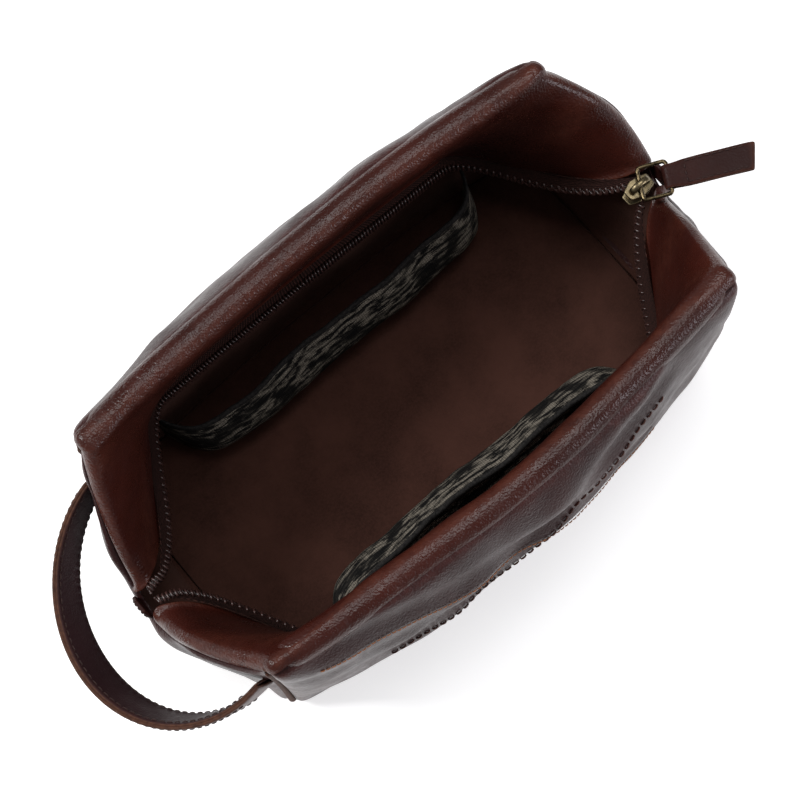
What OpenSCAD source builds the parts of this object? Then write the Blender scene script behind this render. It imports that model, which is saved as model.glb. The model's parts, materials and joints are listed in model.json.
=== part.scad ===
// Shaving kit bag, shown with its zip fully open.
// X runs along the zip toward the slider end, Y from front to back, Z up from the floor.
// The top is two flaps, each hinged on a padded ridge roll. Open, they hang inside along
// the middle and twist up to the straight zip line at both ends.

/* [Body] */
// Distance between the two corner seams along a ridge
ridge_length = 250; // [230:5:270]
// Length of the zip from end stop to end stop
zip_length = 294; // [280:2:300]
// Depth between the two ridge roll centres
ridge_gap = 130; // [124:2:134]
// Height of the ridge roll centres over the floor
ridge_height = 118; // [112:1:124]
// Radius of the padded ridge rolls
roll_r = 6.7; // [5:0.1:7]
// Height of the zip line over the floor
zip_height = 71; // [66:1:76]
// How far the long walls belly out at mid-length
wall_belly = 14; // [8:1:16]
// Extra half depth of the body at mid-length
plan_bow = 8; // [7:0.5:10]
// Thickness of the leather
leather = 1.8; // [1.4:0.1:2]
// Thickness of the lining
lining = 0.8; // [0.6:0.1:1.2]

/* [Flaps and zip] */
// Angle that a flap turns between hanging open and zipped shut
fold_angle = 57; // [40:1:57]
// Half length of the stretch of each flap that turns as one panel
flap_half = 82; // [70:1:90]
// Distance from the middle where a flap's twist ends
twist_end = 141; // [136:1:143]
// Visible width of the zip tape
tape_width = 7; // [5:0.5:8]
// Radius over the zip coil
coil_r = 1.4; // [1:0.1:1.5]

/* [Slider and pull] */
// Distance of the slider from the middle when the zip is open
slider_x = 134.5; // [132:0.5:135]
// Sideways turn of the pull
pull_turn = 29; // [0:1:35]
// Upward tilt of the pull
pull_tilt = 14; // [8:1:20]
// Length of the pull ring between its two bars
ring_reach = 13; // [12:0.5:15]
// Clear width of the pull ring
ring_gap = 13.4; // [13:0.2:16]
// Wire diameter of the pull ring
ring_wire = 1.6; // [1.4:0.1:1.8]
// Length of the leather pull tab
tab_length = 38; // [30:1:45]
// Width of the leather pull tab
tab_width = 12.6; // [11:0.2:12.6]

/* [Handle] */
// How far the handle loop stands out from its anchors
handle_reach = 60; // [55:1:75]
// Half distance between the two anchors
handle_half = 57; // [52:1:58]
// Width of the handle strap
handle_width = 22; // [18:1:24]
// Angle that the handle hangs below level
handle_droop = 20; // [5:1:35]

/* [Pockets] */
// Height of the pocket hems over the floor
pocket_height = 37; // [30:1:38]
// Half length of the pockets
pocket_half = 92; // [70:1:95]

/* [Hidden] */
$fn = 48;

hl = ridge_length / 2;             // half the ridge length
hz = zip_length / 2;               // half the zip length
ya = ridge_gap / 2;                // distance of a hinge axis from the middle
za = ridge_height;                 // height of the hinge axes
corner_y = 64;                     // half depth of the body at its corners
base_t = 2;                        // thickness of the base panel
board_t = 2;                       // thickness of the stiffener
wall_top = za - roll_r - 0.3;      // top edge of the long walls
skin_gap = 0.3;                    // gap between leather and lining
move_gap = 0.3;                    // gap between pieces that move on each other
edge_inset = 5;                    // the twisted ends stop this far inside the end seams
slope = atan((za - zip_height) / (ya - 0.2));                  // slope of a closed flap
flap_r = norm([ya - 0.2, za - zip_height]);                    // hinge axis to zip line
tape_edge = flap_r - 1.6;                                      // free edge of the tape
tape_root = tape_edge - tape_width;                            // tape meets leather here
flap_top = roll_r + 0.4;                                       // flap starts beside its roll
coil_c = tape_edge - 1.4;                                      // centre line of the coil
flap_high = 2.3;                   // outer face of the flap above the plane of its hinge
flap_low = -0.3;                   // hidden face of its lining

function unit(t) = min(1, max(0, t));
function smooth(t) = unit(t) * unit(t) * (3 - 2 * unit(t));

// ---- surfaces of the body: half depth of the long walls and half length of the ends ----
function bow(x) = 1 - pow(x / hl, 2);
function belly(z) = sin(180 * pow(unit(z / za), 0.8));
function wall_y(x, z) = corner_y + bow(x) * (plan_bow + wall_belly * belly(z));
function end_x(y, z) = hl + 0.5 + (hz - hl - 1) * unit(z / zip_height) * (1 - abs(y) / corner_y);
function end_top(y) = zip_height + (za - zip_height) * abs(y) / corner_y;

// A point of the back flap: r from its hinge, t above its middle plane, twisted open by x
function fold(x) = fold_angle * smooth((twist_end - abs(x)) / (twist_end - flap_half));
function flap_point(x, r, t) =
    let (a = slope + fold(x))
    [x, ya - r * cos(a) - t * sin(a), za - r * sin(a) + t * cos(a)];
function flap_end(r) = hl + (hz - hl) * r / flap_r;

// ---- helpers ----
// A closed sheet between two grids of points, face A outward
module sheet(A, B) {
    n = len(A);
    m = len(A[0]);
    function a(i, j) = i * m + j;
    function b(i, j) = n * m + i * m + j;
    points = concat([for (row = A) each row], [for (row = B) each row]);
    faces = concat(
        [for (i = [0:n-2], j = [0:m-2]) each
            [[a(i,j), a(i+1,j), a(i+1,j+1)], [a(i,j), a(i+1,j+1), a(i,j+1)]]],
        [for (i = [0:n-2], j = [0:m-2]) each
            [[b(i,j), b(i+1,j+1), b(i+1,j)], [b(i,j), b(i,j+1), b(i+1,j+1)]]],
        [for (i = [0:n-2]) each
            [[a(i,0), b(i,0), b(i+1,0)], [a(i,0), b(i+1,0), a(i+1,0)]]],
        [for (i = [0:n-2]) each
            [[a(i,m-1), a(i+1,m-1), b(i+1,m-1)], [a(i,m-1), b(i+1,m-1), b(i,m-1)]]],
        [for (j = [0:m-2]) each
            [[a(0,j), a(0,j+1), b(0,j+1)], [a(0,j), b(0,j+1), b(0,j)]]],
        [for (j = [0:m-2]) each
            [[a(n-1,j), b(n-1,j), b(n-1,j+1)], [a(n-1,j), b(n-1,j+1), a(n-1,j+1)]]]);
    polyhedron(points, faces);
}

// Long wall of the back side, between depths d0 and d1 inside its outer face
module long_wall(d0, d1, low, half, high = wall_top) {
    nx = 20;
    nz = 12;
    function grid(d) = [for (i = [0:nx]) let (x = -half + 2 * half * i / nx)
        [for (j = [0:nz]) let (z = low + (high - low) * j / nz) [x, wall_y(x, z) - d, z]]];
    sheet(grid(d0), grid(d1));
}

// Right end wall, between depths d0 and d1 inside its outer face
module end_wall(d0, d1, low, half) {
    ny = 20;
    nz = 8;
    function grid(d) = [for (i = [0:ny]) let (y = half - 2 * half * i / ny)
        [for (j = [0:nz]) let (z = low + (end_top(y) - 1 - low) * j / nz)
            [end_x(y, z) - d, y, z]]];
    sheet(grid(d0), grid(d1));
}

// Outline of the floor of the bag, inset from the walls
module floor_outline(inset) {
    n = 24;
    side = [for (i = [0:n]) let (x = -hl + 2 * hl * i / n)
        [x * (1 - inset / hl), wall_y(x, 0) - inset]];
    offset(r = 5) offset(delta = -5)
        polygon(concat(side, [for (i = [n:-1:0]) [side[i][0], -side[i][1]]]));
}

// Moves the back flap's own frame, hinge on X and zip edge toward -Y, to its open place
module open_flap() {
    translate([0, ya, za]) rotate([slope + fold_angle, 0, 0]) children();
}
module flap_slab(r0, r1, t0, t1, half) {
    open_flap() translate([-half, -r1, t0]) cube([2 * half, r1 - r0, t1 - t0]);
}

// Twisted end of the back flap on the slider side, from r0 to r1 of its width
module twisted_end(r0, r1, t0, t1, cap = hz) {
    nx = 12;
    nr = 6;
    start = flap_half + move_gap;
    function grid(t) = [for (i = [0:nx])
        [for (j = [0:nr]) let (r = r0 + (r1 - r0) * j / nr, stop = min(cap, flap_end(r) - edge_inset))
            flap_point(start + (stop - start) * i / nx, r, t)]];
    sheet(grid(t1), grid(t0));
}

// Pocket of the back wall: a slack front panel and two side cheeks, open at the top
pocket_foot = [57, base_t + board_t + lining + 0.6];
pocket_belly = [36, 18];
pocket_lip = [49, pocket_height];
function bezier(a, b, c, t) = a * (1-t) * (1-t) + b * 2 * t * (1-t) + c * t * t;
function pocket_curve(d) = [for (i = [0:10])
    bezier(pocket_foot, pocket_belly, pocket_lip, i / 10) + [d, 0]];
module pocket_profile(points) {
    rotate([90, 0, 90]) linear_extrude(2 * pocket_half, center = true) polygon(points);
}
module pocket() {
    cheek = 1.5;
    wall = [[64, pocket_height], [64, pocket_foot[1]]];
    difference() {
        pocket_profile(concat(pocket_curve(0), wall));
        difference() {
            pocket_profile(concat([for (p = pocket_curve(1.5)) p + [0, p == pocket_lip ? 1 : 0]],
                [[pocket_lip[0] + 1.5, 60], [70, 60], [70, 0], [pocket_foot[0] + 1.5, 0]]));
            for (s = [-1, 1]) translate([s * (pocket_half - cheek / 2), 60, 30])
                cube([cheek, 60, 80], center = true);
        }
    }
}
module pocket_hem() {
    rotate([0, 90, 0]) translate([-pocket_lip[1] - 1.2, pocket_lip[0] + 0.75, 0])
        cylinder(h = 2 * pocket_half, r = 1.1, center = true);
}

// Handle loop, drooping from its anchor axis, with its strap between two insets
handle_axis = [-hl - 3, -5, 88];
module handle_frame() {
    translate(handle_axis) rotate([0, -handle_droop, 0]) children();
}
module handle_loop(d0, d1) {
    function arc(d) = [for (i = [0:36]) let (a = 5 * i)
        [-(handle_reach - d) * sin(a), (handle_half - d) * cos(a)]];
    outer = arc(d0);
    inner = arc(d1);
    handle_frame() linear_extrude(handle_width, center = true)
        polygon(concat(outer, [for (i = [36:-1:0]) inner[i]]));
}
module handle_swing(r) {
    translate(handle_axis) rotate([90, 0, 0]) cylinder(h = 200, r = r, center = true, $fn = 96);
}

// Pull frame: X along the pull, Y along its hinge wire, origin on the wire in the crown
pull_z = zip_height + 8.8;
module pull_frame() {
    translate([slider_x, 0, pull_z]) rotate([0, 0, -pull_turn]) rotate([0, -pull_tilt, 0])
        children();
}

// ---- shell ----
module base_panel() { color("#4a211b") linear_extrude(base_t) floor_outline(0.4); }
module base_board() {
    color("#8a7a63") translate([0, 0, base_t]) linear_extrude(board_t) floor_outline(5);
}
module base_lining() {
    color("#3a2018") translate([0, 0, base_t + board_t]) linear_extrude(lining) floor_outline(3.6);
}
module back_wall() { color("#57261f") long_wall(0, leather, base_t + 0.2, hl + 0.3); }
module front_wall() { mirror([0, 1, 0]) back_wall(); }
module right_end_wall() { color("#57261f") end_wall(0, leather, base_t + 0.2, corner_y - 2); }
module left_end_wall() { mirror([1, 0, 0]) right_end_wall(); }
module back_lining() {
    depth = leather + skin_gap;
    color("#3a2018") long_wall(depth, depth + lining, base_t + board_t + 1.2, hl - 5, wall_top - 4);
}
module front_lining() { mirror([0, 1, 0]) back_lining(); }
module right_end_lining() {
    depth = leather + skin_gap;
    color("#3a2018") end_wall(depth, depth + lining, base_t + board_t + 1.2, corner_y - 4);
}
module left_end_lining() { mirror([1, 0, 0]) right_end_lining(); }
module back_ridge_roll() {
    half = hl - roll_r - 0.3;
    color("#6b2f25") translate([0, ya, za]) rotate([0, 90, 0]) {
        cylinder(h = 2 * half, r = roll_r, center = true);
        for (s = [-1, 1]) translate([0, 0, s * half]) sphere(roll_r);
    }
}
module front_ridge_roll() { mirror([0, 1, 0]) back_ridge_roll(); }
module back_ridge_seam() {
    color("#8a5236") translate([-hl + 7, ya + roll_r - 1.8, wall_top + 0.1])
        cube([2 * hl - 14, 1.7, 2.1]);
}
module front_ridge_seam() { mirror([0, 1, 0]) back_ridge_seam(); }
module corner_welts() {
    color("#6b3a28") for (sx = [-1, 1], sy = [-1, 1])
        translate([sx * (hl + 1.7), sy * (corner_y + 0.6), base_t + 1])
            cylinder(h = wall_top - base_t - 1, r = 1.3);
}

// Two rows of stitches that cross on the front wall
stitch_length = 2.2;
stitch_pitch = 3.4;
module stitch_row(x0, z0, x1, z1) {
    run = norm([x1 - x0, z1 - z0]);
    count = floor(run / stitch_pitch);
    for (i = [0:count]) let (t = i / count, x = x0 + (x1 - x0) * t, z = z0 + (z1 - z0) * t)
        translate([x, -wall_y(x, z) - 0.5, z]) rotate([0, -atan2(z1 - z0, x1 - x0), 0])
            cube([stitch_length, 0.6, 0.7], center = true);
}
module front_topstitch() {
    color("#a4602f") {
        stitch_row(-106, 107, 69, 71);
        stitch_row(-80, 67, 76, 102);
    }
}
module right_zip_tab() {
    color("#3c1b16") translate([hz + 0.2, -5, zip_height - 6]) cube([1.8, 10, 6.4]);
}
module left_zip_tab() { mirror([1, 0, 0]) right_zip_tab(); }
module back_pocket() { color("#3d3a35") pocket(); }
module front_pocket() { mirror([0, 1, 0]) back_pocket(); }
module back_pocket_hem() { color("#232120") pocket_hem(); }
module front_pocket_hem() { mirror([0, 1, 0]) back_pocket_hem(); }

// ---- twisted ends of the flaps and of the zip tapes ----
module back_right_gusset() { color("#5f2a22") twisted_end(flap_top, tape_root - 0.6, flap_low, flap_high); }
module back_left_gusset() { mirror([1, 0, 0]) back_right_gusset(); }
module front_right_gusset() { mirror([0, 1, 0]) back_right_gusset(); }
module front_left_gusset() { mirror([1, 0, 0]) mirror([0, 1, 0]) back_right_gusset(); }
module right_tape_ends() {
    color("#1f1613") {
        for (m = [0, 1]) mirror([0, m, 0])
            twisted_end(tape_root, tape_edge, -0.5, 0.5, slider_x - 7.5);
    }
}
module left_tape_ends() { mirror([1, 0, 0]) right_tape_ends(); }

// ---- flaps ----
module back_flap_leather() {
    color("#5f2a22") flap_slab(flap_top, tape_root - 0.1, flap_high - leather, flap_high, flap_half);
}
module back_flap_lining() {
    color("#3a2018") flap_slab(flap_top + 1, tape_root - 1, flap_low, flap_low + 0.7, flap_half - 1);
}
module back_zip_tape() {
    color("#1f1613") flap_slab(tape_root, tape_edge, -0.5, 0.5, flap_half);
}
module back_zip_coil() {
    color("#2b1a14") open_flap() translate([0, -coil_c, 0.6 + coil_r]) rotate([0, 90, 0])
        cylinder(h = 2 * flap_half, r = coil_r, center = true);
}
module front_flap_leather() { mirror([0, 1, 0]) back_flap_leather(); }
module front_flap_lining() { mirror([0, 1, 0]) back_flap_lining(); }
module front_zip_tape() { mirror([0, 1, 0]) back_zip_tape(); }
module front_zip_coil() { mirror([0, 1, 0]) back_zip_coil(); }

// ---- slider, ring and pull tab ----
module slider_plate(low, thick) {
    translate([slider_x, 0, low]) linear_extrude(thick) offset(r = 1.5)
        polygon([[-5.5, -3.2], [0, -3.2], [5, -2], [5, 2], [0, 3.2], [-5.5, 3.2]]);
}
module slider_body() {
    color("#8c7647") {
        slider_plate(zip_height - 2.4, 1.5);
        slider_plate(zip_height + 5.2, 1.4);
        translate([slider_x - 5, 0, zip_height - 1]) cylinder(h = 6.4, r = 0.9);
    }
}
module slider_crown() {
    color("#9a8350") translate([slider_x, 0, zip_height + 6.6]) {
        for (s = [-1, 1]) translate([s * 4.6 - 0.7, -1.2, 0]) cube([1.4, 2.4, 3.6]);
        translate([-5.3, -1.2, 3.6]) cube([10.6, 2.4, 1.2]);
    }
}
module pull_ring() {
    w = ring_gap / 2 + ring_wire / 2;
    color("#8c7647") pull_frame() {
        for (x = [0, ring_reach]) translate([x, 0, 0]) rotate([90, 0, 0])
            cylinder(h = 2 * w, r = ring_wire / 2, center = true);
        for (s = [-1, 1]) translate([0, s * w, 0]) {
            rotate([0, 90, 0]) cylinder(h = ring_reach, r = ring_wire / 2);
            for (x = [0, ring_reach]) translate([x, 0, 0]) sphere(ring_wire / 2);
        }
    }
}
module pull_tab() {
    hole_r = ring_wire / 2 + move_gap + 0.1;
    color("#4a211b") pull_frame() translate([ring_reach, 0, 0]) rotate([90, 0, 0])
        linear_extrude(tab_width, center = true) difference() {
            union() {
                circle(hole_r + 1.5);
                translate([0, -hole_r - 1.5]) square([6, 2 * hole_r + 3]);
                translate([5, -1.6]) square([tab_length - 5, 3.2]);
            }
            circle(hole_r);
            translate([0, -hole_r]) square([4.5, 2 * hole_r]);
        }
}
module pull_tab_stitching() {
    color("#3a1a12") pull_frame() for (s = [-1, 1], i = [0:8])
        translate([ring_reach + 8.5 + i * 3.3, s * (tab_width / 2 - 1.6), 1.85])
            cube([stitch_length, 0.6, 0.4], center = true);
}

// ---- handle ----
module handle_roots() {
    color("#6b3a28") difference() {
        intersection() { handle_loop(0, 4); handle_swing(17.6); }
        translate([-hl - 6, -100, 0]) cube([50, 200, 200]);
    }
}
module handle_strap() {
    color("#5f2a22") difference() { handle_loop(0, 2.2); handle_swing(18); }
}
module handle_backing() {
    color("#3f2230") difference() { handle_loop(2.3, 4); handle_swing(18); }
}

base_panel();
base_board();
base_lining();
front_wall();
back_wall();
left_end_wall();
right_end_wall();
front_lining();
back_lining();
left_end_lining();
right_end_lining();
front_ridge_roll();
back_ridge_roll();
front_ridge_seam();
back_ridge_seam();
corner_welts();
front_topstitch();
left_zip_tab();
right_zip_tab();
front_pocket();
front_pocket_hem();
back_pocket();
back_pocket_hem();
front_left_gusset();
front_right_gusset();
back_left_gusset();
back_right_gusset();
left_tape_ends();
right_tape_ends();
handle_roots();
front_flap_leather();
front_flap_lining();
front_zip_tape();
front_zip_coil();
back_flap_leather();
back_flap_lining();
back_zip_tape();
back_zip_coil();
slider_body();
slider_crown();
pull_ring();
pull_tab();
pull_tab_stitching();
handle_strap();
handle_backing();
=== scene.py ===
"""Open leather shaving kit bag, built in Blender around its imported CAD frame.

Lengths in this script are millimetres; build() turns them into metres.
X runs along the zip to the slider end, Y to the back wall, Z up.
"""
import json
import math

import bpy
import numpy as np
from mathutils import Matrix, Vector, noise


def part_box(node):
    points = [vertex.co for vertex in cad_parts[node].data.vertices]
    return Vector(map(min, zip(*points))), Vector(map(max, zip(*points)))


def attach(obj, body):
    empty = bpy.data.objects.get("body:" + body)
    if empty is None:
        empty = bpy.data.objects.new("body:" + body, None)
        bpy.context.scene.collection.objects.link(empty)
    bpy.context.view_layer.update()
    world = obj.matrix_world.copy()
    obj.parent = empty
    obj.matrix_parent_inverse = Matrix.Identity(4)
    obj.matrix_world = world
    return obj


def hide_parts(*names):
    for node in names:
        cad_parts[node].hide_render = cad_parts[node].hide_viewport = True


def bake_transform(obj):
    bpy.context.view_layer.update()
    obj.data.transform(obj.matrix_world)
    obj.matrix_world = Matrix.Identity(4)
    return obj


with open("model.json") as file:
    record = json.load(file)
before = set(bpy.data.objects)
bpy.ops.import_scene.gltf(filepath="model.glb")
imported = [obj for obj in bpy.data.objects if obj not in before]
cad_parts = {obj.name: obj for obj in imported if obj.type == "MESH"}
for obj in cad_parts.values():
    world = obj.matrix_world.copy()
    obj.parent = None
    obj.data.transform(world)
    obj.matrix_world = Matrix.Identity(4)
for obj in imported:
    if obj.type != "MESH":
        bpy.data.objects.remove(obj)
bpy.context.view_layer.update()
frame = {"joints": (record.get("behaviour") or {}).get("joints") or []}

MM = 0.001
JOINTS = {j["name"]: j for j in frame["joints"]}

# ---- driving dimensions, the first read from the frame, the rest given ----
AXIS_Y, AXIS_Z = (JOINTS["back_flap_fold"]["pos_m"][k] / MM for k in (1, 2))
FOLD = math.radians(JOINTS["back_flap_fold"]["range_deg"][1])
RING_AT = np.array(JOINTS["ring_swing"]["pos_m"]) / MM
TAB_AT = np.array(JOINTS["tab_swing"]["pos_m"]) / MM
HANDLE_AT = np.array(JOINTS["handle_swing"]["pos_m"]) / MM
FLAP_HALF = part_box("back_zip_tape")[1].x / MM
HALF_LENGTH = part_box("back_wall")[1].x / MM - 0.3
ZIP_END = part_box("right_end_wall")[1].x / MM + 1.0
ROLL_R = (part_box("back_ridge_roll")[1].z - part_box("back_ridge_roll")[0].z) / MM / 2
FLOOR_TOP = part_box("base_lining")[1].z / MM
POCKET_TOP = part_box("back_pocket")[1].z / MM
POCKET_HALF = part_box("back_pocket")[1].x / MM
TWIST_END = 141.0
ZIP_HEIGHT = 71.0
CORNER_Y = 64.0
TAPE_WIDTH = 8.2
TAPE_WIDTH_AT_ENDS = 4.6
COIL_PITCH = 1.72
COIL_WIRE_R = 0.58
FLAT_LOOP = 0.9
WIDE_LOOP = 1.7


# ---- small maths ----
def smooth(t):
    t = min(1.0, max(0.0, t))
    return t * t * (3 - 2 * t)


def bump_at(x, centre, width):
    return math.exp(-(((x - centre) / width) ** 2))


def noise_at(point, scale, seed=0.0):
    return noise.noise(Vector(point) / scale + Vector((seed, 3.1 * seed, -1.7 * seed)))


def lerp(a, b, t):
    return a + (b - a) * t


def unit(v):
    v = np.asarray(v, float)
    return v / (np.linalg.norm(v) + 1e-12)


def run_along(points):
    """Distance run from the first point to each point of a line."""
    return np.concatenate([[0], np.cumsum(np.linalg.norm(np.diff(points, axis=0), axis=1))])


def put_in_scene(thing):
    bpy.context.scene.collection.objects.link(thing)
    return thing


# ---- mesh helpers ----
def build(name, verts, faces, uvs=None, wear=None, levels=0, solid=0.0, offset=-1.0):
    """A mesh object from millimetre points; uvs and wear are one value per point."""
    mesh = bpy.data.meshes.new(name)
    mesh.from_pydata([tuple(np.asarray(v) * MM) for v in verts], [], faces)
    mesh.validate()
    for poly in mesh.polygons:
        poly.use_smooth = True
    if uvs is not None:
        layer = mesh.uv_layers.new(name="UVMap")
        for loop in mesh.loops:
            layer.data[loop.index].uv = uvs[loop.vertex_index]
    value = mesh.attributes.new("wear", "FLOAT", "POINT")
    value.data.foreach_set("value", list(wear) if wear is not None else [0.0] * len(verts))
    piece = put_in_scene(bpy.data.objects.new(name, mesh))
    if solid:
        thick = piece.modifiers.new("thickness", "SOLIDIFY")
        thick.thickness = solid * MM
        thick.offset = offset
    if levels:
        sub = piece.modifiers.new("smooth", "SUBSURF")
        sub.levels = levels
        sub.render_levels = levels
    return piece


def sheet(name, rows, away_from=None, towards=None, wear=None, wrap=False, **kw):
    """A grid of points as one surface, its normals away from (or towards) a point."""
    rows = np.asarray(rows, float)
    n, m = rows.shape[:2]
    faces = []
    for i in range(n - 1):
        for j in range(m if wrap else m - 1):
            k = (j + 1) % m
            faces.append((i * m + j, (i + 1) * m + j, (i + 1) * m + k, i * m + k))
    du = np.linalg.norm(np.diff(rows, axis=0), axis=2).mean(1)
    dv = np.linalg.norm(np.diff(rows, axis=1), axis=2).mean(0)
    u = np.concatenate([[0], np.cumsum(du)])
    v = np.concatenate([[0], np.cumsum(dv)])
    uvs = [(u[i], v[j]) for i in range(n) for j in range(m)]
    if away_from is not None or towards is not None:
        a, b, c = rows[:-1, :-1], rows[1:, :-1], rows[:-1, 1:]
        normals = np.cross(b - a, c - a)
        ref = np.asarray(away_from if away_from is not None else towards, float)
        side = np.sum(normals * (a - ref))
        if (side < 0) == (away_from is not None):
            faces = [f[::-1] for f in faces]
    flat = rows.reshape(-1, 3)
    values = None if wear is None else np.asarray(wear, float).reshape(-1)
    return build(name, flat, faces, uvs, values, **kw)


def joined(name, parts, **kw):
    """One mesh from many (verts, faces) parts."""
    verts, faces = [], []
    for v, f in parts:
        base = len(verts)
        verts.extend(v)
        faces.extend(tuple(base + i for i in face) for face in f)
    return build(name, verts, faces, [(p[0], p[1]) for p in verts], **kw)


def tube(path, radius, sides=8, frames=None, flat=1.0, caps=True):
    """Verts and faces of a round or flattened tube along a path."""
    path = np.asarray(path, float)
    n = len(path)
    radii = np.broadcast_to(radius, n)
    tangents = np.gradient(path, axis=0)
    tangents /= np.linalg.norm(tangents, axis=1, keepdims=True) + 1e-12
    up = np.array([0.0, 0.0, 1.0]) if abs(tangents[0][2]) < 0.9 else np.array([1.0, 0.0, 0.0])
    verts = []
    for i in range(n):
        if frames is not None:
            a, b = frames[i]
        else:
            a = unit(up - tangents[i] * np.dot(up, tangents[i]))
            b = np.cross(tangents[i], a)
            up = a
        for k in range(sides):
            ang = 2 * math.pi * k / sides
            verts.append(path[i] + radii[i] * (a * math.cos(ang) * flat + b * math.sin(ang)))
    faces = [(i * sides + k, (i + 1) * sides + k, (i + 1) * sides + (k + 1) % sides,
              i * sides + (k + 1) % sides) for i in range(n - 1) for k in range(sides)]
    if caps:
        faces.append(tuple(range(sides)))
        faces.append(tuple((n - 1) * sides + k for k in reversed(range(sides))))
    return verts, faces


def stitch(a, b, lift, radius=0.42):
    """One stitch from a to b: it comes up out of the leather, lies along it and goes back in."""
    a, b, lift = (np.asarray(p, float) for p in (a, b, lift))
    steps = ((0.0, -0.5), (0.1, 0.35), (0.35, 0.62), (0.65, 0.62), (0.9, 0.35), (1.0, -0.5))
    path = [lerp(a, b, t) + unit(lift) * radius * 1.35 * h for t, h in steps]
    return tube(path, [radius * 0.55, radius * 0.9, radius, radius, radius * 0.9, radius * 0.55], 6)


def stitches_along(points, lifts, pitch=3.3, length=2.3, radius=0.42):
    """A row of stitches along a dense line of points with their surface normals."""
    points = np.asarray(points, float)
    lifts = np.asarray(lifts, float)
    run = run_along(points)

    def at(s):
        return (np.array([np.interp(s, run, points[:, k]) for k in range(3)]),
                np.array([np.interp(s, run, lifts[:, k]) for k in range(3)]))
    parts = []
    for i in range(int(run[-1] // pitch)):
        a, lift = at(i * pitch)
        b, _ = at(i * pitch + length)
        parts.append(stitch(a, b, lift, radius))
    return parts


def fit_out(piece, body, slot, *nodes):
    """The piece moves with a body and stands for these nodes of the frame; slot is not used."""
    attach(piece, body)
    if nodes:
        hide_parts(*nodes)
    return piece


# ---- the shape of the bag ----
BULGE = {1: 15.4, -1: 17.0}
RIDGE_BOW = {1: 8.0, -1: 9.5}


def soft_x(x):
    """x with no slope at the middle, where the two halves of a flap meet."""
    return x * abs(x) / (abs(x) + 10.0)


def ridge(x, side):
    """Centre of a ridge roll at x: (half depth, height)."""
    u = min(1.0, abs(x) / HALF_LENGTH)
    bow = 1 - u ** 2.3
    soft = soft_x(x)
    wave = (1.1 * math.sin(soft / 21.0 + 1.0) if side < 0 else 0.5 * math.sin(soft / 27.0)) * bow
    return CORNER_Y - 5.5 + RIDGE_BOW[side] * bow + wave, AXIS_Z - 1.6 * bow + 0.35 * wave


def twist(x):
    """How far a flap hangs open at x, from none at the zip's ends to the full fold."""
    return FOLD * smooth((TWIST_END - abs(x)) / (TWIST_END - FLAP_HALF))


def flap_frame(x, side):
    """Roll centre, slope of the hanging flap and its width to the zip line, at x."""
    cy, cz = ridge(x, side)
    t = twist(x)
    dy, dz = cy - AXIS_Y, cz - AXIS_Z
    shut_y = AXIS_Y + dy * math.cos(t) + dz * math.sin(t)
    shut_z = AXIS_Z - dy * math.sin(t) + dz * math.cos(t)
    zip_z = ZIP_HEIGHT - 2.0 * (1 - min(1.0, abs(x) / ZIP_END) ** 2)
    reach_y, drop = shut_y - 0.2, shut_z - zip_z
    return cy, cz, math.atan2(drop, reach_y) + t, math.hypot(reach_y, drop)


def flap_point(x, r, t, side):
    """A point of a flap: r from the roll centre towards the zip, t above its middle plane."""
    cy, cz, a, _ = flap_frame(x, side)
    return np.array([x, side * (cy - r * math.cos(a) - t * math.sin(a)),
                     cz - r * math.sin(a) + t * math.cos(a)])


def flap_dirs(x, side):
    """Directions along the flap towards the zip and out of its face, at x."""
    _, _, a, _ = flap_frame(x, side)
    along = np.array([0.0, -side * math.cos(a), -math.sin(a)])
    out = np.array([0.0, -side * math.sin(a), math.cos(a)])
    return along, out


# ---- flap sections, in the flap's own frame (r along the flap, t above its middle plane) ----
SHUT_SLOPE = math.atan2(AXIS_Z - ZIP_HEIGHT, AXIS_Y)
ARC_FROM, ARC_TO = math.radians(100), math.radians(-3)


def tape_at(x):
    """Width of tape left showing between the leather and its free edge."""
    return lerp(TAPE_WIDTH, TAPE_WIDTH_AT_ENDS, smooth((abs(x) - 127) / 16))


def tape_line(width, x):
    """Root of the showing tape, its direction and its normal; it lies level when the zip is shut."""
    lift = SHUT_SLOPE + 0.16 * smooth((abs(x) - 106) / 12) - 0.3 * smooth((abs(x) - 125) / 20)
    along = np.array([math.cos(lift), math.sin(lift)])
    parted = 1.5 * bump_at(abs(x), 138.0, 4.0)
    return (np.array([width - parted, 0.0]) - along * tape_at(x), along,
            np.array([-along[1], along[0]]))


def leather_section(width, x, steps_arc=9, steps_flat=12):
    """Outer face of the flap leather: over the ridge roll, then straight to the zip tape."""
    rr = ROLL_R + 0.45
    points, wear = [], []
    for i in range(steps_arc):
        ang = lerp(ARC_FROM, ARC_TO, i / (steps_arc - 1))
        proud = rr - 0.55 * (1 - smooth(i / 3.0))
        points.append((-proud * math.sin(ang), proud * math.cos(ang)))
        wear.append(0.6 * math.exp(-((ang - math.radians(55)) / 0.5) ** 2))
    root, along, across = tape_line(width, x)
    start, end = points[-1], root - 2.6 * along + 1.25 * across
    for i in range(1, steps_flat + 1):
        s = i / steps_flat
        swell = (0.9 + 2.2 * smooth((abs(x) - 70) / 40)) * math.sin(math.pi * s ** 0.8) ** 1.3
        points.append((lerp(start[0], end[0], s), lerp(start[1], end[1], s) + swell))
        wear.append(0.35 * math.exp(-s * 6))
    for d, t, w in ((-0.9, 1.35, 0.25), (0.1, 1.2, 0.7), (0.45, 0.75, 0.4), (0.3, 0.15, 0.2)):
        points.append(tuple(root + d * along + t * across))
        wear.append(w)
    return points, wear


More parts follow.
